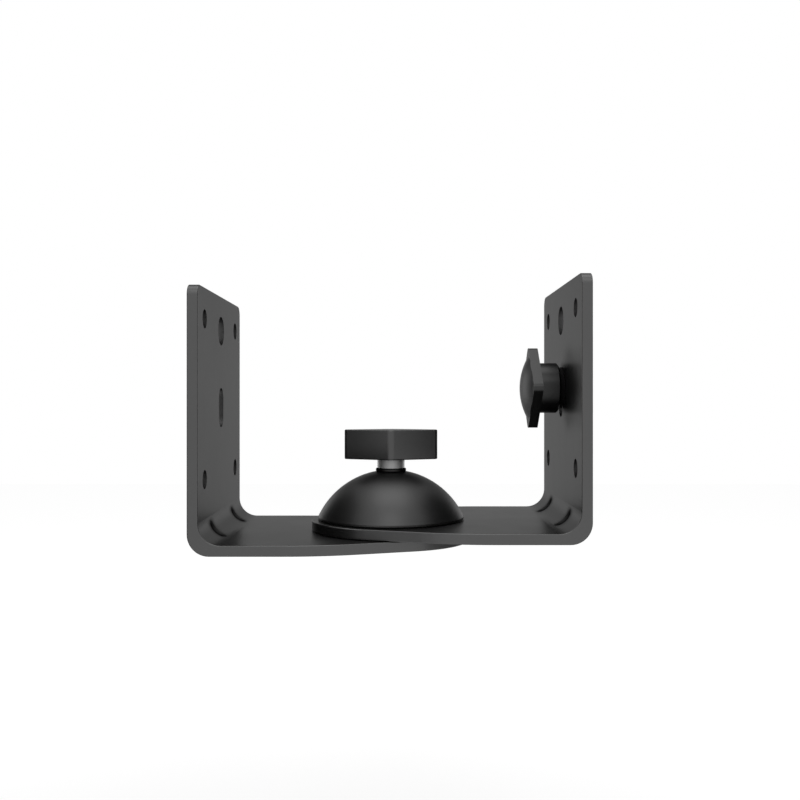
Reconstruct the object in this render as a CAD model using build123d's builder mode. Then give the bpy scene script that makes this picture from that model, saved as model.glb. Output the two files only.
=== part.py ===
from build123d import *
from math import cos, isclose, radians, sin, sqrt
import os

# Speaker wall bracket: two bent steel arms on a clamped vertical pivot.
# Millimetres. The origin is the centre of the four wall screws, on the wall face of the wall plate.
# +X points out of the wall, +Z up. Both arms are symmetric about Y = 0.

# Bent arms
sheet = 5.0
arm_depth = 104.0
arm_reach = 91.5
plate_height = 123.2
plate_corner = 5.0
edge_round = 0.4
bend_inside = 10.0
bend_outside = 10.0
tongue_radius = 40.0
shoulder_setback = 30.8
shoulder_blend = 110.0

# Two stiffening beads pressed outwards into each bend; span and sweep are angles in degrees
bead_pitch = 52.0
bead_width = 7.0
bead_depth = 1.2
bead_root = 0.6
bead_span = 68.0
bead_sweep = 130.0

# Holes of each upright plate
hole_pitch = 75.0
hole_diameter = 9.0
hole_to_edge = 14.7
port_diameter = 14.5
slot_length = 20.0
slot_drop = 4.2

# Clearances
running_gap = 0.05
seat_gap = 0.05
neck_gap = 0.15
bolt_gap = 0.5
slot_gap = 0.5
slot_end_gap = 0.8
washer_gap = 0.25

# Pivot
bolt_diameter = 10.0
bolt_head_diameter = 20.0
bolt_head_height = 4.0
bolt_head_rim = 1.2
bolt_chamfer = 1.0
disc_thickness = 0.25
disc_margin = 2.0
bush_wall = 2.0
bush_flange = 4.0

# Clamp dome and its rings
dome_margin = 3.1
dome_height = 24.1
dome_band = 0.8
dome_wall = 3.0
dome_land_diameter = 16.4
boss_wall = 6.5
boss_recess = 0.7
web_count = 6
web_thickness = 2.5
web_recess = 3.0
gasket_height = 0.8
gasket_width = 3.0
gasket_margin = 0.5
collar_diameter = 15.4
collar_height = 1.9
collar_edge = 0.5

# Clamp knob and its threaded insert
sleeve_wall = 1.9
sleeve_shows = 4.4
insert_step = 1.0
insert_height = 10.0
insert_spare = 3.0
knob_length = 47.2
knob_width = 22.0
knob_height = 15.0
knob_tip_radius = 2.0
knob_nose_radius = 10.0
knob_edge = 0.6

# Speaker knob, its screw and its washer
washer_diameter = 21.0
washer_thickness = 2.0
screw_diameter = 10.0
shank_diameter = 9.0
thread_setback = 0.3
screw_reach = 9.0
screw_chamfer = 1.2
screw_head_width = 16.0
screw_head_height = 6.4
hub_diameter = 25.3
hub_length = 10.0
hub_edge = 0.8
grip_diagonal = 40.4
grip_corner = 3.0
grip_rim = 4.7
crown_diameter = 31.4
crown_height = 4.0

# Levels and places worked out from the sizes above
plate_top = hole_pitch / 2 + hole_to_edge
leg_under = plate_top - plate_height
leg_top = leg_under + sheet
tongue_under = leg_top + disc_thickness
tongue_top = tongue_under + sheet
speaker_lift = sheet + disc_thickness
speaker_face = 2 * arm_reach
port_height = (hole_pitch + hole_diameter - port_diameter) / 2
slot_width = screw_diameter + 2 * slot_gap
bead_round = ((bead_width / 2) ** 2 + bead_depth**2) / (2 * bead_depth)
bolt_hole_radius = bolt_diameter / 2 + running_gap
bush_radius = bolt_hole_radius + bush_wall
dome_radius = tongue_radius - dome_margin
dome_rim = tongue_top + gasket_height
dome_cap = dome_height - dome_band
dome_sphere = (dome_radius**2 + dome_cap**2) / (2 * dome_cap)
dome_centre = dome_rim + dome_height - dome_sphere
dome_land = dome_centre + sqrt(dome_sphere**2 - (dome_land_diameter / 2) ** 2)
boss_under = dome_rim + boss_recess
boss_radius = bolt_diameter / 2 + bolt_gap + boss_wall
collar_top = dome_land + collar_height
knob_under = collar_top + sleeve_shows
insert_top = knob_under + insert_height
sleeve_radius = bolt_hole_radius + sleeve_wall
insert_width = 2 * (sleeve_radius + insert_step)
screw_height = speaker_lift - slot_drop + (slot_length - shank_diameter) / 2 - slot_end_gap
hub_end = speaker_face - sheet - washer_thickness
grip_back = hub_end - hub_length
grip_face = grip_back - grip_rim

pivot = Axis((arm_reach, 0, 0), (0, 0, 1))
screw_line = Axis((0, 0, screw_height), (1, 0, 0))

os.makedirs("parts", exist_ok=True)


def level(height):
    """Horizontal plane at a height, centred on the pivot."""
    return Plane((arm_reach, 0, height))


def upright(distance):
    """Plane parallel to the plates at a distance from the wall, centred on the speaker screw."""
    return Plane((distance, 0, screw_height), x_dir=(0, 1, 0), z_dir=(1, 0, 0))


def pressed_beads(corner_x, corner_z, bend):
    """Both beads of a bend: bands of a round-rimmed wheel that dips through the bend's surface. Its radius
    and centre follow from the bead's depth and from the part of the bend that it spans."""
    dip = bend + bead_depth
    shift = (dip**2 - bend**2) / (2 * (dip - bend * cos(radians(bead_span / 2))))
    wheel = dip - shift
    centre_x = corner_x + bend - shift / sqrt(2)
    centre_z = corner_z + bend - shift / sqrt(2)
    band = bead_depth + bead_root
    half_width = sqrt(bead_round**2 - (bead_round - band) ** 2)
    start = radians(225 - bead_sweep / 2)
    start_plane = Plane((centre_x, 0, centre_z), x_dir=(0, 1, 0), z_dir=(sin(start), 0, -cos(start)))
    wheel_axis = Axis((centre_x, 0, centre_z), (0, -1, 0))
    with BuildPart() as beads:
        with BuildSketch(start_plane):
            for middle in (-bead_pitch / 2, bead_pitch / 2):
                with BuildLine():
                    near_point = (middle - half_width, wheel - band)
                    far_point = (middle + half_width, wheel - band)
                    ThreePointArc(near_point, (middle, wheel), far_point)
                    Line(far_point, near_point)
                make_face()
        revolve(axis=wheel_axis, revolution_arc=bead_sweep)
    return beads.part


def bent_arm():
    """Blank of both arms, standing as the wall arm does, with every hole but the pivot's."""
    with BuildPart() as arm:
        with BuildSketch(Plane.YZ) as plate:
            with Locations((0, plate_top - plate_height / 2)):
                Rectangle(arm_depth, plate_height)
            fillet(plate.vertices().group_by(Axis.Y)[-1], plate_corner)
        extrude(amount=sheet)

        with BuildSketch(Plane.XY.offset(leg_under)) as leg:
            wide_length = arm_reach - shoulder_setback
            with Locations((wide_length / 2, 0)):
                Rectangle(wide_length, arm_depth)
            with Locations((arm_reach, 0)):
                Circle(tongue_radius)
            make_hull()
            sides = leg.vertices().group_by(Axis.Y)
            fillet([sides[0].sort_by(Axis.X)[-1], sides[-1].sort_by(Axis.X)[-1]], shoulder_blend)
        extrude(amount=sheet)

        inner_corner = arm.edges().filter_by(Axis.Y).sort_by_distance((sheet, 0, leg_top))[0]
        fillet(inner_corner, bend_inside)
        outer_corner = arm.edges().filter_by(Axis.Y).sort_by_distance((0, 0, leg_under))[0]
        fillet(outer_corner, bend_outside)

        lines_across = arm.edges().filter_by(Axis.Y)
        bend_lines = lines_across - lines_across.group_by(Axis.Z)[-1]
        lines = arm.edges().filter_by(GeomType.LINE)
        short_lines = lines.filter_by(lambda line: isclose(line.length, sheet))
        fillet(arm.edges() - bend_lines - short_lines, edge_round)

        add(pressed_beads(sheet, leg_top, bend_inside), mode=Mode.SUBTRACT)
        add(pressed_beads(0, leg_under, bend_outside))

        with BuildSketch(Plane.YZ):
            with GridLocations(hole_pitch, hole_pitch, 2, 2):
                Circle(hole_diameter / 2)
            with Locations((0, port_height)):
                Circle(port_diameter / 2)
            with Locations((0, -slot_drop)):
                SlotOverall(slot_length, slot_width, rotation=90)
        extrude(amount=sheet, mode=Mode.SUBTRACT)
    return arm.part


def ring(base, height, outside, inside):
    """Flat ring round the pivot, standing on a level."""
    with BuildPart() as part:
        with BuildSketch(level(base)):
            Circle(outside)
            Circle(inside, mode=Mode.SUBTRACT)
        extrude(amount=height)
    return part.part


# Wall arm: square pivot hole for the bolt's neck
with BuildPart() as wall_bracket:
    add(bent_arm())
    with BuildSketch(level(leg_under)):
        Rectangle(bolt_diameter + 2 * neck_gap, bolt_diameter + 2 * neck_gap)
    extrude(amount=sheet, mode=Mode.SUBTRACT)
wall_bracket.part.label = "wall_bracket"
export_step(wall_bracket.part, "parts/wall_bracket.step")

# Speaker arm: the same blank turned round, its tongue on top, with a round hole for the bush
with BuildPart() as speaker_bracket:
    with Locations(Location((speaker_face, 0, speaker_lift), (0, 0, 180))):
        add(bent_arm())
    with BuildSketch(level(tongue_under)):
        Circle(bush_radius + seat_gap)
    extrude(amount=sheet, mode=Mode.SUBTRACT)
speaker_bracket.part.label = "speaker_bracket"
export_step(speaker_bracket.part, "parts/speaker_bracket.step")

# Pivot bolt: low round head under the wall arm, square neck in its tongue, shank up into the knob
with BuildPart() as pivot_bolt:
    with BuildSketch(Plane.XZ):
        with BuildLine():
            head_radius = bolt_head_diameter / 2
            head_crown = bolt_head_height - bolt_head_rim
            head_sphere = (head_radius**2 + head_crown**2) / (2 * head_crown)
            rim_point = (arm_reach + head_radius, leg_under - bolt_head_rim)
            bottom_point = (arm_reach, leg_under - bolt_head_height)
            Polyline(
                bottom_point,
                (arm_reach, leg_under),
                (arm_reach + head_radius, leg_under),
                rim_point,
            )
            RadiusArc(rim_point, bottom_point, head_sphere)
        make_face()
    revolve(axis=pivot)
    with BuildSketch(level(leg_under)):
        Rectangle(bolt_diameter, bolt_diameter)
    extrude(amount=sheet)
    with BuildSketch(level(leg_top)):
        Circle(bolt_diameter / 2)
    extrude(amount=insert_top - insert_spare - leg_top)
    chamfer(pivot_bolt.edges().sort_by(Axis.Z)[-1], bolt_chamfer)
pivot_bolt.part.label = "pivot_bolt"
export_step(pivot_bolt.part, "parts/pivot_bolt.step")

# Friction disc between the two tongues
with BuildPart() as friction_disc:
    add(ring(leg_top, disc_thickness, tongue_radius - disc_margin, bolt_hole_radius))
friction_disc.part.label = "friction_disc"
export_step(friction_disc.part, "parts/friction_disc.step")

# Flanged bush in the speaker arm, running on the bolt
with BuildPart() as pivot_bush:
    add(ring(tongue_under, sheet, bush_radius, bolt_hole_radius))
    add(ring(tongue_top, boss_under - tongue_top, bush_radius + bush_flange, bolt_hole_radius))
pivot_bush.part.label = "pivot_bush"
export_step(pivot_bush.part, "parts/pivot_bush.step")

# Gasket under the dome's rim
with BuildPart() as dome_gasket:
    gasket_radius = dome_radius - gasket_margin
    add(ring(tongue_top, gasket_height, gasket_radius, gasket_radius - gasket_width))
dome_gasket.part.label = "dome_gasket"
export_step(dome_gasket.part, "parts/dome_gasket.step")

# Hollow under the dome: open round the boss, parted by radial webs that stop short of the rim
with BuildPart() as dome_hollow:
    with BuildSketch(Plane.XZ):
        with BuildLine():
            hollow_sphere = dome_sphere - dome_wall
            hollow_rim = sqrt(hollow_sphere**2 - (dome_rim - dome_centre) ** 2)
            hollow_top = dome_centre + sqrt(hollow_sphere**2 - boss_radius**2)
            Polyline(
                (arm_reach + boss_radius, hollow_top),
                (arm_reach + boss_radius, boss_under),
                (arm_reach, boss_under),
                (arm_reach, dome_rim),
                (arm_reach + hollow_rim, dome_rim),
            )
            RadiusArc(
                (arm_reach + boss_radius, hollow_top),
                (arm_reach + hollow_rim, dome_rim),
                hollow_sphere,
            )
        make_face()
    revolve(axis=pivot)
    with BuildSketch(level(dome_rim + web_recess)):
        with PolarLocations(0, web_count):
            Rectangle(dome_radius, web_thickness, align=(Align.MIN, Align.CENTER))
    extrude(amount=dome_height, mode=Mode.SUBTRACT)

# Clamp dome: spherical cap on a low upright band, with a flat land on top, hollowed and bored for the bolt
with BuildPart() as clamp_dome:
    with BuildSketch(Plane.XZ):
        with BuildLine():
            land_point = (arm_reach + dome_land_diameter / 2, dome_land)
            band_point = (arm_reach + dome_radius, dome_rim + dome_band)
            Polyline(
                land_point,
                (arm_reach, dome_land),
                (arm_reach, dome_rim),
                (arm_reach + dome_radius, dome_rim),
                band_point,
            )
            RadiusArc(land_point, band_point, dome_sphere)
        make_face()
    revolve(axis=pivot)
    add(dome_hollow.part, mode=Mode.SUBTRACT)
    with BuildSketch(level(boss_under)):
        Circle(bolt_diameter / 2 + bolt_gap)
    extrude(amount=dome_land - boss_under, mode=Mode.SUBTRACT)
clamp_dome.part.label = "clamp_dome"
export_step(clamp_dome.part, "parts/clamp_dome.step")

# Collar: thrust ring between the dome and the knob's sleeve
with BuildPart() as dome_collar:
    add(ring(dome_land, collar_height, collar_diameter / 2, bolt_diameter / 2 + bolt_gap))
    outer_edges = dome_collar.edges().filter_by(GeomType.CIRCLE).group_by(SortBy.RADIUS)[-1]
    chamfer(outer_edges, collar_edge)
dome_collar.part.label = "dome_collar"
export_step(dome_collar.part, "parts/dome_collar.step")

# Threaded insert of the clamp knob: a hexagon in the knob and a round sleeve down to the collar
with BuildPart() as knob_insert:
    with BuildSketch(level(knob_under)):
        RegularPolygon(insert_width / 2, 6, major_radius=False)
    extrude(amount=insert_height)
    with BuildSketch(level(collar_top)):
        Circle(sleeve_radius)
    extrude(amount=sleeve_shows)
    with BuildSketch(level(collar_top)):
        Circle(bolt_hole_radius)
    extrude(amount=sleeve_shows + insert_height, mode=Mode.SUBTRACT)
knob_insert.part.label = "knob_insert"
export_step(knob_insert.part, "parts/knob_insert.step")

# Clamp knob: lozenge with rounded corners, on the insert's hexagon
with BuildPart() as clamp_knob:
    with BuildSketch(level(knob_under)):
        with Locations((knob_length / 2 - knob_tip_radius, 0), (knob_tip_radius - knob_length / 2, 0)):
            Circle(knob_tip_radius)
        with Locations((0, knob_width / 2 - knob_nose_radius), (0, knob_nose_radius - knob_width / 2)):
            Circle(knob_nose_radius)
        make_hull()
    extrude(amount=knob_height)
    end_faces = clamp_knob.faces().filter_by(Axis.Z)
    fillet(end_faces.edges(), knob_edge)
    with BuildSketch(level(knob_under)):
        RegularPolygon(insert_width / 2 + seat_gap, 6, major_radius=False)
    extrude(amount=insert_height + seat_gap, mode=Mode.SUBTRACT)
clamp_knob.part.label = "clamp_knob"
export_step(clamp_knob.part, "parts/clamp_knob.step")

# Washer between the speaker knob's hub and the speaker plate, captive on the screw's shank
with BuildPart() as speaker_washer:
    with BuildSketch(upright(hub_end)):
        Circle(washer_diameter / 2)
        Circle(shank_diameter / 2 + washer_gap, mode=Mode.SUBTRACT)
    extrude(amount=washer_thickness)
speaker_washer.part.label = "speaker_washer"
export_step(speaker_washer.part, "parts/speaker_washer.step")

# Speaker screw: hexagon head in the knob's hub, thinner shank through the slot, thread beyond the plate
with BuildPart() as speaker_screw:
    with BuildSketch(upright(hub_end - screw_head_height)):
        RegularPolygon(screw_head_width / 2, 6, major_radius=False)
    extrude(amount=screw_head_height)
    with BuildSketch(upright(hub_end)):
        Circle(shank_diameter / 2)
    extrude(amount=washer_thickness + sheet + thread_setback)
    with BuildSketch(upright(speaker_face + thread_setback)):
        Circle(screw_diameter / 2)
    extrude(amount=screw_reach - thread_setback)
    chamfer(speaker_screw.edges().sort_by(Axis.X)[-1], screw_chamfer)
speaker_screw.part.label = "speaker_screw"
export_step(speaker_screw.part, "parts/speaker_screw.step")

# Speaker knob: diamond grip with a crowned face and a round hub towards the plate
with BuildPart() as speaker_knob:
    corner_offset = grip_diagonal / 2 - grip_corner
    with BuildSketch(upright(grip_face - crown_height)):
        with PolarLocations(corner_offset, 4):
            Circle(grip_corner)
        make_hull()
    extrude(amount=crown_height + grip_rim)
    with BuildSketch(Plane.XZ):
        with BuildLine():
            crown_radius = crown_diameter / 2
            crown_sphere = (crown_radius**2 + crown_height**2) / (2 * crown_height)
            crown_point = (grip_face - crown_height, screw_height)
            crown_edge = (grip_face, screw_height + crown_radius)
            Polyline(
                crown_edge,
                (grip_face, screw_height + grip_diagonal),
                (grip_back, screw_height + grip_diagonal),
                (grip_back, screw_height),
                crown_point,
            )
            RadiusArc(crown_point, crown_edge, crown_sphere)
        make_face()
    revolve(axis=screw_line, mode=Mode.INTERSECT)
    with BuildSketch(upright(grip_back)):
        Circle(hub_diameter / 2)
    extrude(amount=hub_length)
    chamfer(speaker_knob.edges().group_by(Axis.X)[-1], hub_edge)
    head_pocket = screw_head_height + seat_gap
    with BuildSketch(upright(hub_end - head_pocket)):
        RegularPolygon(screw_head_width / 2 + seat_gap, 6, major_radius=False)
    extrude(amount=head_pocket, mode=Mode.SUBTRACT)
speaker_knob.part.label = "speaker_knob"
export_step(speaker_knob.part, "parts/speaker_knob.step")
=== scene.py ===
"""Looks of the speaker wall bracket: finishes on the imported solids, cut threads, the clamp knob with
tighter noses, light and camera."""
import math

import bpy
import numpy as np
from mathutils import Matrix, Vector


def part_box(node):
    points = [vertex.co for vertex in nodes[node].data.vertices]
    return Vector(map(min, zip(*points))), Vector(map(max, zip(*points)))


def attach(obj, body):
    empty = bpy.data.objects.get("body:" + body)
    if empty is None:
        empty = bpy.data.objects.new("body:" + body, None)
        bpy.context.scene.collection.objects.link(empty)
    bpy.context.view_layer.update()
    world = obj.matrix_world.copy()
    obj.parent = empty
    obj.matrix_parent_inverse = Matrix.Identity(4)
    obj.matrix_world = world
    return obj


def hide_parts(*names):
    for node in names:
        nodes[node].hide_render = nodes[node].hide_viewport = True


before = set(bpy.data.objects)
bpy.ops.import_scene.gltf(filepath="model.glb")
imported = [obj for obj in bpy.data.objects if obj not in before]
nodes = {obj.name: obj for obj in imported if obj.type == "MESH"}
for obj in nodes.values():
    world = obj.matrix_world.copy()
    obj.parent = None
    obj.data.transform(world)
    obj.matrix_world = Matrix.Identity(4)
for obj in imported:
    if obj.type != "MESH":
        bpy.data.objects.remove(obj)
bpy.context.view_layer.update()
scene = bpy.context.scene
scene.view_settings.view_transform = "Standard"

# Camera of the photograph: frame and focal length in pixels, sensor in millimetres, the rest in metres
IMAGE_WIDTH = 800.0
FOCAL_PIXELS = 875.0
SENSOR_WIDTH = 36.0
CAMERA_PLACE = (0.0961, -0.44575, -0.00035)
CLIP_START = 0.01

# Floor, in metres: it lies well below the bracket, because a wall carries it
FLOOR_DROP = 0.26
FLOOR_SIZE = 6.0
FLOOR_SHADE = 0.8
FLOOR_ROUGHNESS = 0.9

# The floor's glow near its middle and far away, and the distances in metres between which it grows
GLOW_NEAR = 0.25
GLOW_FAR = 0.5
GLOW_START = 0.3
GLOW_END = 1.2

# Dark cards beside the object, in metres
FLAG_SHADE = 0.01
FLAG_DISTANCE = 0.5
FLAG_FRONT = 0.45
FLAG_BACK = 0.25
FLAG_TOP = 0.35
RIGHT_FLAG_FOOT = -0.17
LOW_FLAG_FRONT = 0.95
LOW_FLAG_TOP = -0.15

# Light: the strength of the surroundings, and the height in metres that the lamps face
WORLD_STRENGTH = 0.6
AIM_HEIGHT = -0.01

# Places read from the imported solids, in metres
wall_low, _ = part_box("wall_bracket")
arm_low, arm_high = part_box("speaker_bracket")
screw_low, screw_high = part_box("speaker_screw")
bolt_low, bolt_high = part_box("pivot_bolt")
knob_low, knob_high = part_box("clamp_knob")
insert_low, insert_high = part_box("knob_insert")
_, bush_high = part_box("pivot_bush")
PIVOT_X = (bolt_low.x + bolt_high.x) / 2
SCREW_Z = (screw_low.z + screw_high.z) / 2
FLOOR_HEIGHT = wall_low.z - FLOOR_DROP

# Sizes shared with the solids, in metres; the bolt and the screw have the same thread
SHEET = 0.005
BEND_RADIUS = 0.010
BEAD_PITCH = 0.052
BEAD_DEPTH = 0.0012
THREAD_DIAMETER = 0.010
SCREW_HEAD_WIDTH = 0.016
SCREW_HEAD_HEIGHT = 0.0064
SHANK_DIAMETER = 0.009
THREAD_SETBACK = 0.0003
SCREW_CHAMFER = 0.0012
BOLT_HEAD_DIAMETER = 0.020
BOLT_HEAD_HEIGHT = 0.004
BOLT_HEAD_RIM = 0.0012
BOLT_CHAMFER = 0.001
KNOB_TIP_RADIUS = 0.002
KNOB_EDGE = 0.0006
KNOB_SEAT_GAP = 0.00005

# Sizes that only this script has, in metres: the bolt's shank is set in from its neck's flats, its thread
# starts above the bush, and the clamp knob's two noses are tighter than the solid's
NECK_STEP = 0.00005
BOLT_THREAD_GAP = 0.001
KNOB_NOSE_RADIUS = 0.0046

# Coarse metric thread: its pitch in metres, its depth from the pitch, and half its crest and one flank as
# shares of the pitch
THREAD_PITCH = 0.0015
THREAD_DEPTH = 0.6134 * THREAD_PITCH
CREST_SHARE = 1 / 16
FLANK_SHARE = 5 / 16

# Grids that the surfaces are worked out on, and the angle from which an edge is sharp
RING_STEPS = 72
RING = 2 * np.pi * np.arange(RING_STEPS) / RING_STEPS
ROWS_PER_PITCH = 12
CROWN_ROWS = 10
CORNER_STEPS = 24
EDGE_ROWS = 5
SHARP_ANGLE = math.radians(35)

# Grains of the finishes, in metres: how wide a grain is, and how high it stands
MILLIMETRE = 0.001
MICRON = 0.000001
PAINT_GRAIN = {"grain_size": 0.35 * MILLIMETRE, "bump": 6 * MICRON}
MOULDED_GRAIN = {"grain_size": 0.25 * MILLIMETRE, "bump": 4 * MICRON}
RUBBER_GRAIN = {"grain_size": 0.2 * MILLIMETRE, "bump": 5 * MICRON}
SMOOTH_GRAIN = {"grain_size": 0.2 * MILLIMETRE, "bump": 3 * MICRON}

# Painted shade along the pressed beads, darkening the paint where shade falls in their creases: how dark,
# how wide in metres, where it starts in from the bend's ends, and how far behind the bend's hollow face, in
# metres, it fades
BEAD_DARKNESS = 0.99
BEAD_SPREAD = 0.0048
BEAD_ARC_RISE = 0.42
BEAD_FADE_START = 1.5 * BEAD_DEPTH
BEAD_FADE_END = 3.0 * BEAD_DEPTH


def grey(level):
    """A neutral colour."""
    return (level, level, level, 1.0)


def set_inputs(node, **values):
    """Sets input sockets of a node, named with _ for a space."""
    for name, value in values.items():
        node.inputs[name.replace("_", " ")].default_value = value


def put(tree, kind, **values):
    """Adds a node. A keyword names one of the node's own settings or, with _ for a space, an input."""
    node = tree.nodes.new(kind)
    for name, value in values.items():
        if hasattr(node, name):
            setattr(node, name, value)
        else:
            set_inputs(node, **{name: value})
    return node


def link(tree, source, target):
    """Joins an output socket to an input socket."""
    tree.links.new(source, target)


def math_node(tree, operation, first, second=None, clamp=False):
    """A Math node on sockets or numbers; returns its output socket."""
    node = put(tree, "ShaderNodeMath", operation=operation, use_clamp=clamp)
    for index, value in enumerate((first, second)):
        if value is None:
            continue
        if isinstance(value, (int, float)):
            node.inputs[index].default_value = value
        else:
            link(tree, value, node.inputs[index])
    return node.outputs[0]


def scaled_colour(tree, colour, factor):
    """A colour socket times a value socket; returns the product's output socket."""
    node = put(tree, "ShaderNodeVectorMath", operation="SCALE")
    link(tree, colour, node.inputs[0])
    link(tree, factor, node.inputs["Scale"])
    return node.outputs["Vector"]


def new_material(name):
    """A new node material; returns it with its node tree and its Principled shader."""
    material = bpy.data.materials.new(name)
    material.use_nodes = True
    tree = material.node_tree
    return material, tree, tree.nodes["Principled BSDF"]


def make_group(name, inputs, outputs):
    """An empty shader node group with named inputs and outputs; returns it with its two end nodes."""
    group = bpy.data.node_groups.new(name, "ShaderNodeTree")
    for label, kind, value in inputs:
        socket = group.interface.new_socket(label, in_out="INPUT", socket_type=kind)
        socket.default_value = value
    for label, kind in outputs:
        group.interface.new_socket(label, in_out="OUTPUT", socket_type=kind)
    return group, group.nodes.new("NodeGroupInput"), group.nodes.new("NodeGroupOutput")


def make_grain_group():
    """Fine surface grain in object space: a fine noise gives a height, a wide noise sways the roughness, and
    both sway the colour."""
    group, start, end = make_group(
        "fine_grain",
        [
            ("Grain Scale", "NodeSocketFloat", 2500.0),
            ("Cloud Scale", "NodeSocketFloat", 30.0),
            ("Roughness", "NodeSocketFloat", 0.5),
            ("Roughness Swing", "NodeSocketFloat", 0.1),
            ("Colour", "NodeSocketColor", grey(0.1)),
            ("Colour Swing", "NodeSocketFloat", 0.1),
        ],
        [("Height", "NodeSocketFloat"), ("Roughness", "NodeSocketFloat"), ("Colour", "NodeSocketColor")],
    )
    place = put(group, "ShaderNodeTexCoord").outputs["Object"]
    grain = put(group, "ShaderNodeTexNoise", Detail=2.0, Roughness=0.6)
    cloud = put(group, "ShaderNodeTexNoise", Detail=3.0, Roughness=0.5)
    for noise, scale in ((grain, "Grain Scale"), (cloud, "Cloud Scale")):
        link(group, place, noise.inputs["Vector"])
        link(group, start.outputs[scale], noise.inputs["Scale"])
    link(group, grain.outputs["Fac"], end.inputs["Height"])
    swing = math_node(group, "SUBTRACT", cloud.outputs["Fac"], 0.5)
    sway = math_node(group, "MULTIPLY", swing, start.outputs["Roughness Swing"])
    roughness = math_node(group, "ADD", sway, start.outputs["Roughness"], clamp=True)
    link(group, roughness, end.inputs["Roughness"])
    speck = math_node(group, "ADD", swing, math_node(group, "SUBTRACT", grain.outputs["Fac"], 0.5))
    factor = math_node(group, "MULTIPLY", speck, start.outputs["Colour Swing"])
    brightness = math_node(group, "ADD", factor, 1.0)
    link(group, scaled_colour(group, start.outputs["Colour"], brightness), end.inputs["Colour"])
    return group


def make_painted_shade_group():
    """Painted shade of the pressed beads: it darkens their creases as if they lay in shadow. It is one
    outside them and near zero along their middle. With u and v the distances from the bend's axis towards
    the plate and towards the leg, and r = sqrt(u^2 + v^2), it is
    1 - BEAD_DARKNESS * exp(-((|y| - BEAD_PITCH / 2) / BEAD_SPREAD)^2) * arc * inside: arc rises from the
    ends of the bend with min(u, v) / r, and inside keeps to the bend's hollow side."""
    group, _, end = make_group("painted_bead_shade", [], [("Shade", "NodeSocketFloat")])
    place = put(group, "ShaderNodeTexCoord").outputs["Object"]
    split = put(group, "ShaderNodeSeparateXYZ")
    link(group, place, split.inputs["Vector"])
    x, y, z = (split.outputs[axis] for axis in "XYZ")
    from_pivot = math_node(group, "ABSOLUTE", math_node(group, "SUBTRACT", x, PIVOT_X))
    axis_distance = PIVOT_X - wall_low.x - SHEET - BEND_RADIUS
    u = math_node(group, "SUBTRACT", from_pivot, axis_distance)
    on_speaker_arm = math_node(group, "GREATER_THAN", x, PIVOT_X)
    lift = math_node(group, "MULTIPLY", on_speaker_arm, arm_low.z - wall_low.z)
    axis_height = wall_low.z + SHEET + BEND_RADIUS
    v = math_node(group, "SUBTRACT", math_node(group, "ADD", lift, axis_height), z)
    u_square = math_node(group, "POWER", u, 2.0)
    v_square = math_node(group, "POWER", v, 2.0)
    r = math_node(group, "SQRT", math_node(group, "ADD", u_square, v_square))
    arc = put(group, "ShaderNodeMapRange", interpolation_type="SMOOTHSTEP", From_Max=BEAD_ARC_RISE)
    link(group, math_node(group, "DIVIDE", math_node(group, "MINIMUM", u, v), r), arc.inputs["Value"])
    inside = put(
        group,
        "ShaderNodeMapRange",
        interpolation_type="SMOOTHSTEP",
        From_Min=BEND_RADIUS + BEAD_FADE_START,
        From_Max=BEND_RADIUS + BEAD_FADE_END,
        To_Min=1.0,
        To_Max=0.0,
    )
    link(group, r, inside.inputs["Value"])
    across = math_node(group, "SUBTRACT", math_node(group, "ABSOLUTE", y), BEAD_PITCH / 2)
    share = math_node(group, "POWER", math_node(group, "DIVIDE", across, BEAD_SPREAD), 2.0)
    bell = math_node(group, "EXPONENT", math_node(group, "MULTIPLY", share, -1.0))
    where = math_node(group, "MULTIPLY", arc.outputs["Result"], inside.outputs["Result"])
    dark = math_node(group, "MULTIPLY", math_node(group, "MULTIPLY", bell, where), BEAD_DARKNESS)
    link(group, math_node(group, "SUBTRACT", 1.0, dark), end.inputs["Shade"])
    return group


grain_group = make_grain_group()
# Group of painted shade that darkens the creases of the pressed beads
painted_shade_group = make_painted_shade_group()


def grained_material(name, colour, roughness, grain_size, bump, swing=0.1, cloud_size=0.03, **shader):
    """Coated, moulded or plated surface: base colour, roughness and bump come from the grain group."""
    material, tree, principled = new_material(name)
    grain = put(
        tree,
        "ShaderNodeGroup",
        node_tree=grain_group,
        Grain_Scale=1.0 / grain_size,
        Cloud_Scale=1.0 / cloud_size,
        Roughness=roughness,
        Roughness_Swing=swing,
        Colour=grey(colour),
        Colour_Swing=swing,
    )
    relief = put(tree, "ShaderNodeBump", Strength=1.0, Distance=bump)
    link(tree, grain.outputs["Height"], relief.inputs["Height"])
    link(tree, relief.outputs["Normal"], principled.inputs["Normal"])
    link(tree, grain.outputs["Roughness"], principled.inputs["Roughness"])
    link(tree, grain.outputs["Colour"], principled.inputs["Base Color"])
    set_inputs(principled, **shader)
    return material


def reflecting_material(name, colour, edge, roughness, grain=MOULDED_GRAIN):
    """Black coat or plastic, which shows only what it reflects: its colour is the share that it reflects
    straight on, and edge scales the stronger reflection at a flat angle."""
    return grained_material(name, colour, roughness, Metallic=1.0, Specular_Tint=grey(edge), **grain)


def paint_bead_shade(material):
    """Paints shade into a reflecting material in the hollow of the pressed beads: it dulls and darkens the
    colour there as if the creases lay in shadow.
    """
    tree = material.node_tree
    principled = tree.nodes["Principled BSDF"]
    shade = put(tree, "ShaderNodeGroup", node_tree=painted_shade_group).outputs["Shade"]
    colour = principled.inputs["Base Color"].links[0].from_socket
    link(tree, scaled_colour(tree, colour, shade), principled.inputs["Base Color"])
    link(tree, shade, principled.inputs["Metallic"])
    set_inputs(principled, Specular_IOR_Level=0.0)


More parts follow.
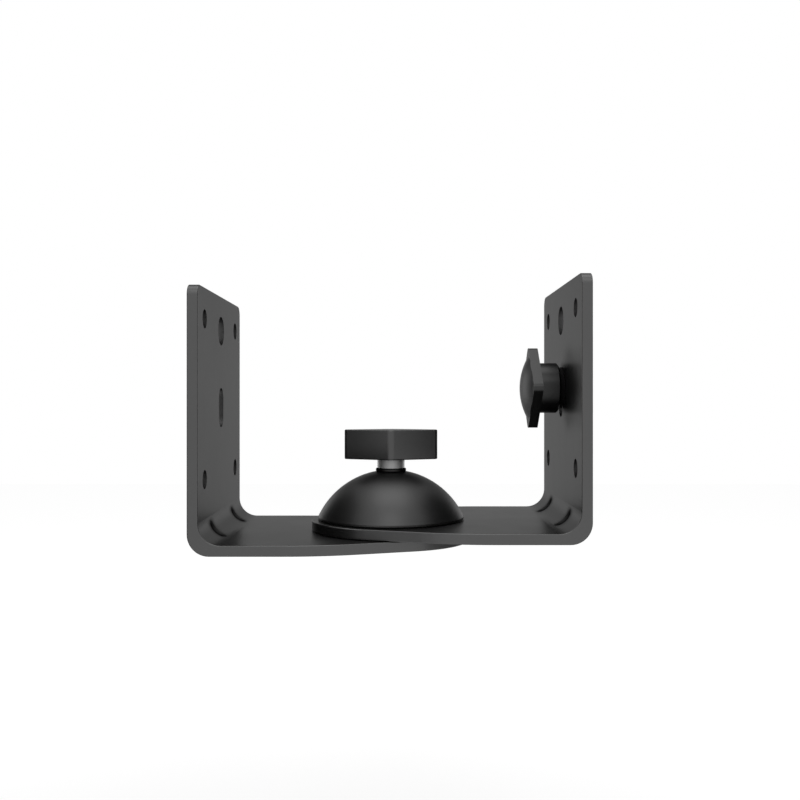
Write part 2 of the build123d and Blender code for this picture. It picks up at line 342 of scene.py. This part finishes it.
paint = reflecting_material("arm_paint", colour=0.095, edge=0.37, roughness=0.34, grain=PAINT_GRAIN)
# The arm paint gets painted shade in the creases of its pressed beads
paint_bead_shade(paint)
dome_finish = reflecting_material("dome_plastic", colour=0.061, edge=0.41, roughness=0.40)
collar_finish = reflecting_material("collar_plastic", colour=0.03, edge=0.3, roughness=0.36)
clamp_finish = reflecting_material("clamp_plastic", colour=0.079, edge=0.35, roughness=0.32)
knob_finish = reflecting_material("knob_plastic", colour=0.047, edge=0.45, roughness=0.34)
rubber_finish = grained_material(
    "gasket_rubber", colour=0.004, roughness=0.8, Specular_IOR_Level=0.05, **RUBBER_GRAIN
)
nylon_finish = grained_material(
    "friction_nylon", colour=0.004, roughness=0.6, Specular_IOR_Level=0.05, **SMOOTH_GRAIN
)
steel_finish = grained_material("bolt_steel", colour=0.45, roughness=0.35, Metallic=1.0, **SMOOTH_GRAIN)
sleeve_finish = grained_material("sleeve_zinc", colour=0.42, roughness=0.62, Metallic=1.0, **SMOOTH_GRAIN)

FINISHES = {
    "wall_bracket": paint,
    "speaker_bracket": paint,
    "pivot_bolt": steel_finish,
    "friction_disc": nylon_finish,
    "pivot_bush": nylon_finish,
    "dome_gasket": rubber_finish,
    "clamp_dome": dome_finish,
    "dome_collar": collar_finish,
    "clamp_knob": clamp_finish,
    "knob_insert": sleeve_finish,
    "speaker_knob": knob_finish,
    "speaker_screw": steel_finish,
    "speaker_washer": nylon_finish,
}
for node_name, finish in FINISHES.items():
    slots = nodes[node_name].data.materials
    slots.clear()
    slots.append(finish)


def ring_mesh(name, rings, poles, round_quads, round_ends):
    """Closed surface over rings[k, j], a stack of rings of points. Quads join each ring to the next, and a
    fan from a pole closes the first ring and the last. round_quads and round_ends tell which of these faces
    are shaded round."""
    ring_count, step_count, _ = rings.shape
    points = np.concatenate([rings.reshape(-1, 3), poles])
    index = np.arange(ring_count * step_count).reshape(ring_count, step_count)
    after = np.roll(index, -1, axis=1)
    quads = np.stack([index[:-1], after[:-1], after[1:], index[1:]], axis=-1).reshape(-1, 4)
    first, last = ring_count * step_count, ring_count * step_count + 1
    bottom = np.stack([after[0], index[0], np.full(step_count, first)], axis=-1)
    top = np.stack([index[-1], after[-1], np.full(step_count, last)], axis=-1)
    mesh = bpy.data.meshes.new(name)
    mesh.from_pydata(points.tolist(), [], quads.tolist() + bottom.tolist() + top.tolist())
    quad_flags = np.broadcast_to(round_quads, len(quads))
    end_flags = np.full(2 * step_count, round_ends)
    mesh.polygons.foreach_set("use_smooth", np.concatenate([quad_flags, end_flags]))
    mesh.set_sharp_from_angle(angle=SHARP_ANGLE)
    return mesh


def add_piece(mesh, finish, body, replaced):
    """Puts a mesh into the scene as a piece of the object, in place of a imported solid."""
    mesh.materials.append(finish)
    piece = bpy.data.objects.new(mesh.name, mesh)
    scene.collection.objects.link(piece)
    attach(piece, body)
    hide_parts(replaced)


def turned_mesh(name, heights, radii, place):
    """Surface round an axis. Ring k stands at heights[k] and has radius radii[k, j] at angle 2 pi j / N, so
    a point is place(height, r cos angle, r sin angle)."""
    rings = place(heights[:, None] + 0 * radii, radii * np.cos(RING), radii * np.sin(RING))
    poles = place(heights[[0, -1]], np.zeros(2), np.zeros(2))
    return ring_mesh(name, rings, poles, round_quads=True, round_ends=True)


def round_section(radius):
    """Radius of a circle, the same at every angle."""
    return np.full(RING_STEPS, radius)


def flat_section(angle, across_flats, sides, turn=0.0):
    """Radius of a regular polygon by angle: half its width over the cosine of the angle to the nearest
    flat, where one flat faces the angle turn."""
    sector = 2 * np.pi / sides
    return across_flats / 2 / np.cos((angle - turn + sector / 2) % sector - sector / 2)


def thread_rows(start, end, tip_chamfer):
    """Heights and radii of an M10 thread from start to its chamfered end. By the distance d of a point from
    the nearest crest, as a share of the pitch, the radius falls from the full one, at d under CREST_SHARE,
    to the root, at d over CREST_SHARE + FLANK_SHARE. The crest climbs one pitch for each turn, and the
    groove runs out over a pitch."""
    heights = np.arange(start, end, THREAD_PITCH / ROWS_PER_PITCH)
    phase = (heights[:, None] / THREAD_PITCH - RING / (2 * np.pi)) % 1.0
    groove = np.clip((np.abs(phase - 0.5) - CREST_SHARE) / FLANK_SHARE, 0.0, 1.0)
    runout = np.clip((heights - start) / THREAD_PITCH, 0.0, 1.0)[:, None]
    cut = THREAD_DIAMETER / 2 - THREAD_DEPTH * groove * runout
    chamfer_limit = THREAD_DIAMETER / 2 - np.clip(heights - (end - tip_chamfer), 0.0, None)[:, None]
    return heights, np.minimum(cut, chamfer_limit)


def add_speaker_screw():
    """Hexagon head in the knob's hub, plain shank through the slot, M10 thread past the plate, along +X."""
    head_end = screw_low.x + SCREW_HEAD_HEIGHT
    thread_start = arm_high.x + THREAD_SETBACK
    thread_heights, thread_radii = thread_rows(thread_start, screw_high.x, SCREW_CHAMFER)
    head = flat_section(RING, SCREW_HEAD_WIDTH, sides=6)
    shank = round_section(SHANK_DIAMETER / 2)
    tip = round_section(THREAD_DIAMETER / 2 - SCREW_CHAMFER)
    steps = [screw_low.x, head_end, head_end, thread_start]
    heights = np.concatenate([steps, thread_heights, [screw_high.x]])
    radii = np.concatenate([[head, head, shank, shank], thread_radii, [tip]])

    def along_x(height, first, second):
        return np.stack([height, first, second + SCREW_Z], axis=-1)

    mesh = turned_mesh("cut_screw", heights, radii, along_x)
    add_piece(mesh, steel_finish, "speaker_grip", "speaker_screw")


def add_pivot_bolt():
    """Low head, square neck in the wall arm, plain shank and M10 thread up into the knob, along +Z. The
    head's crown is a cap of a sphere of radius R: at a height h above its pole its radius is
    sqrt(R^2 - (R - h)^2)."""
    head_end = bolt_low.z + BOLT_HEAD_HEIGHT
    neck_end = head_end + SHEET
    crown = BOLT_HEAD_HEIGHT - BOLT_HEAD_RIM
    head_radius = BOLT_HEAD_DIAMETER / 2
    sphere = (head_radius**2 + crown**2) / (2 * crown)
    rise = crown * np.linspace(0.0, 1.0, CROWN_ROWS) ** 2
    crown_radii = np.sqrt(np.maximum(sphere**2 - (sphere - rise) ** 2, 0.0))
    # The first ring would be a point, so it is widened to a small flat round the pole
    crown_radii[0] = crown_radii[1] / 2
    neck = flat_section(RING, THREAD_DIAMETER, sides=4)
    shank = round_section(THREAD_DIAMETER / 2 - NECK_STEP)
    tip = round_section(THREAD_DIAMETER / 2 - BOLT_CHAMFER)
    thread_start = bush_high.z + BOLT_THREAD_GAP
    thread_heights, thread_radii = thread_rows(thread_start, bolt_high.z, BOLT_CHAMFER)
    steps = [head_end, head_end, neck_end, neck_end]
    heights = np.concatenate([bolt_low.z + rise, steps, thread_heights, [bolt_high.z]])
    crown_rows = crown_radii[:, None] + np.zeros(RING_STEPS)
    step_rows = [round_section(head_radius), neck, neck, shank]
    radii = np.concatenate([crown_rows, step_rows, thread_radii, [tip]])

    def along_z(height, first, second):
        return np.stack([first + PIVOT_X, second, height], axis=-1)

    mesh = turned_mesh("cut_bolt", heights, radii, along_z)
    add_piece(mesh, steel_finish, "wall_arm", "pivot_bolt")


def knob_corners():
    """The lozenge's four rounded corners: their centres, radii, and the normals' angles along each. A tip
    has its centre at (a, 0) and radius p, a nose at (0, b) and radius q. The side that touches both turns
    its normal by s from the nose's, where a sin s - b cos s = q - p."""
    a = (knob_high.x - knob_low.x) / 2 - KNOB_TIP_RADIUS
    b = (knob_high.y - knob_low.y) / 2 - KNOB_NOSE_RADIUS
    s = math.atan2(b, a) + math.asin((KNOB_NOSE_RADIUS - KNOB_TIP_RADIUS) / math.hypot(a, b))
    centres = np.array([(a, 0.0), (0.0, b), (-a, 0.0), (0.0, -b)])
    radii = np.array([KNOB_TIP_RADIUS, KNOB_NOSE_RADIUS] * 2)
    half_turns = np.array([np.pi / 2 - s, s] * 2)
    middles = np.pi / 2 * np.arange(4)
    normals = middles[:, None] + half_turns[:, None] * np.linspace(-1.0, 1.0, CORNER_STEPS)
    return centres, radii, normals


def add_clamp_knob():
    """Lozenge grip with a hexagon seat for its insert. A ring drawn in by d has the points
    centre + (radius - d) (cos n, sin n) over each corner's normals n. Both edges are quarter circles of d
    and height, and the seat's two rings are hexagons."""
    centres, radii, normals = knob_corners()
    step_count = normals.size
    turn = np.linspace(0.0, np.pi / 2, EDGE_ROWS)
    inset = KNOB_EDGE * np.concatenate([1 - np.sin(turn), 1 - np.cos(turn)])
    lower_edge = knob_low.z + KNOB_EDGE * (1 - np.cos(turn))
    upper_edge = knob_high.z - KNOB_EDGE * (1 - np.sin(turn))
    reach = (radii[:, None] - inset[:, None, None])[..., None]
    outline = centres[:, None] + reach * np.stack([np.cos(normals), np.sin(normals)], axis=-1)
    outline = outline.reshape(len(inset), step_count, 2)

    # A quarter of the seat's points faces each corner, and its flats face along Y, as the insert's do
    seat_angle = 2 * np.pi * np.arange(step_count) / step_count - np.pi / 4
    seat_width = insert_high.y - insert_low.y + 2 * KNOB_SEAT_GAP
    seat_radius = flat_section(seat_angle, seat_width, sides=6, turn=np.pi / 6)
    seat = np.stack([seat_radius * np.cos(seat_angle), seat_radius * np.sin(seat_angle)], axis=-1)
    seat_top = insert_high.z + KNOB_SEAT_GAP

    plan = np.concatenate([[seat, seat], outline])
    heights = np.concatenate([[seat_top, knob_low.z], lower_edge, upper_edge])
    levels = heights[:, None] + np.zeros(step_count)
    rings = np.stack([plan[..., 0] + PIVOT_X, plan[..., 1], levels], axis=-1)
    poles = np.array([(PIVOT_X, 0.0, seat_top), (PIVOT_X, 0.0, knob_high.z)])

    # Flat faces: the seat's wall, the underside, both ends and the four sides between the corners
    round_quads = np.ones((len(heights) - 1, step_count), dtype=bool)
    round_quads[:2] = False
    round_quads[1 + EDGE_ROWS, CORNER_STEPS - 1 :: CORNER_STEPS] = False
    mesh = ring_mesh("moulded_grip", rings, poles, round_quads.ravel(), round_ends=False)
    add_piece(mesh, clamp_finish, "clamp_grip", "clamp_knob")


add_speaker_screw()
add_pivot_bolt()
add_clamp_knob()


def seen_rays(tree):
    """One for rays that show the surroundings: from the camera, off gloss and through glass."""
    rays = put(tree, "ShaderNodeLightPath")
    seen = math_node(tree, "MAXIMUM", rays.outputs["Is Camera Ray"], rays.outputs["Is Glossy Ray"])
    return math_node(tree, "MAXIMUM", seen, rays.outputs["Is Transmission Ray"])


def set_world():
    """Even pale surroundings that light the object at WORLD_STRENGTH, and are seen as plain white."""
    world = bpy.data.worlds.new("studio")
    scene.world = world
    world.use_nodes = True
    tree = world.node_tree
    background = tree.nodes["Background"]
    set_inputs(background, Color=grey(1.0))
    level = put(tree, "ShaderNodeMapRange", To_Min=WORLD_STRENGTH, To_Max=1.0)
    link(tree, seen_rays(tree), level.inputs["Value"])
    link(tree, level.outputs["Result"], background.inputs["Strength"])


def add_sheet(name, corners, material):
    """A flat four-cornered part of the studio."""
    mesh = bpy.data.meshes.new(name)
    mesh.from_pydata(corners, [], [(0, 1, 2, 3)])
    mesh.materials.append(material)
    sheet = bpy.data.objects.new(name, mesh)
    scene.collection.objects.link(sheet)
    return sheet


def add_floor():
    """Plain pale floor below the object. Camera and glossy rays see it glow: more far away, and less near
    its middle, where its own lit colour keeps the object's shadow."""
    material, tree, principled = new_material("floor_white")
    set_inputs(
        principled,
        Base_Color=grey(FLOOR_SHADE),
        Roughness=FLOOR_ROUGHNESS,
        Specular_IOR_Level=0.0,
        Emission_Color=grey(1.0),
    )
    place = put(tree, "ShaderNodeTexCoord")
    distance = put(tree, "ShaderNodeVectorMath", operation="LENGTH")
    link(tree, place.outputs["Object"], distance.inputs[0])
    far = put(
        tree,
        "ShaderNodeMapRange",
        interpolation_type="SMOOTHSTEP",
        From_Min=GLOW_START,
        From_Max=GLOW_END,
        To_Min=GLOW_NEAR,
        To_Max=GLOW_FAR,
    )
    link(tree, distance.outputs["Value"], far.inputs["Value"])
    glow = math_node(tree, "MULTIPLY", far.outputs["Result"], seen_rays(tree))
    link(tree, glow, principled.inputs["Emission Strength"])
    half = FLOOR_SIZE / 2
    plan = ((-half, -half), (half, -half), (half, half), (-half, half))
    add_sheet("floor", [(x, y, FLOOR_HEIGHT) for x, y in plan], material)


def add_flags():
    """Dark cards at both sides, as for any shiny black object. Only reflections show them: the camera
    doesn't see them, and they throw no shadow."""
    material, _, principled = new_material("flag_black")
    set_inputs(principled, Base_Color=grey(FLAG_SHADE), Roughness=1.0, Specular_IOR_Level=0.0)
    cards = (
        ("left_flag", -1, -FLAG_FRONT, FLAG_BACK, FLOOR_HEIGHT, FLAG_TOP),
        ("right_flag", 1, -FLAG_FRONT, FLAG_BACK, RIGHT_FLAG_FOOT, FLAG_TOP),
        ("low_left_flag", -1, -LOW_FLAG_FRONT, -FLAG_FRONT, FLOOR_HEIGHT, LOW_FLAG_TOP),
    )
    for name, side, front, back, low, high in cards:
        x = PIVOT_X + side * FLAG_DISTANCE
        corners = [(x, front, low), (x, back, low), (x, back, high), (x, front, high)]
        flag = add_sheet(name, corners, material)
        flag.visible_camera = False
        flag.visible_diffuse = False
        flag.visible_shadow = False


def add_softbox(name, place, size, power):
    """A square area lamp at a place relative to the object's middle, facing that middle."""
    lamp = bpy.data.lights.new(name, "AREA")
    lamp.shape = "SQUARE"
    lamp.size = size
    lamp.energy = power
    holder = bpy.data.objects.new(name, lamp)
    scene.collection.objects.link(holder)
    holder.location = Vector((PIVOT_X, 0.0, AIM_HEIGHT)) + Vector(place)
    holder.rotation_mode = "QUATERNION"
    holder.rotation_quaternion = (-Vector(place)).to_track_quat("-Z", "Y")


def add_camera():
    """Level camera that looks along +Y, as the photograph was taken."""
    lens = bpy.data.cameras.new("camera")
    lens.sensor_width = SENSOR_WIDTH
    lens.lens = SENSOR_WIDTH * FOCAL_PIXELS / IMAGE_WIDTH
    lens.clip_start = CLIP_START
    holder = bpy.data.objects.new("camera", lens)
    scene.collection.objects.link(holder)
    holder.location = CAMERA_PLACE
    holder.rotation_euler = (math.radians(90), 0.0, 0.0)
    scene.camera = holder


set_world()
add_floor()
add_flags()
add_softbox("top_softbox", place=(0.0, 0.0, 1.2), size=0.8, power=3.3)
add_softbox("front_top_softbox", place=(0.0, -0.85, 0.85), size=0.6, power=1.7)
add_softbox("back_left_softbox", place=(-0.7, 1.0, 0.05), size=0.5, power=2.5)
add_softbox("back_right_softbox", place=(0.7, 1.0, 0.05), size=0.5, power=2.5)
add_camera()
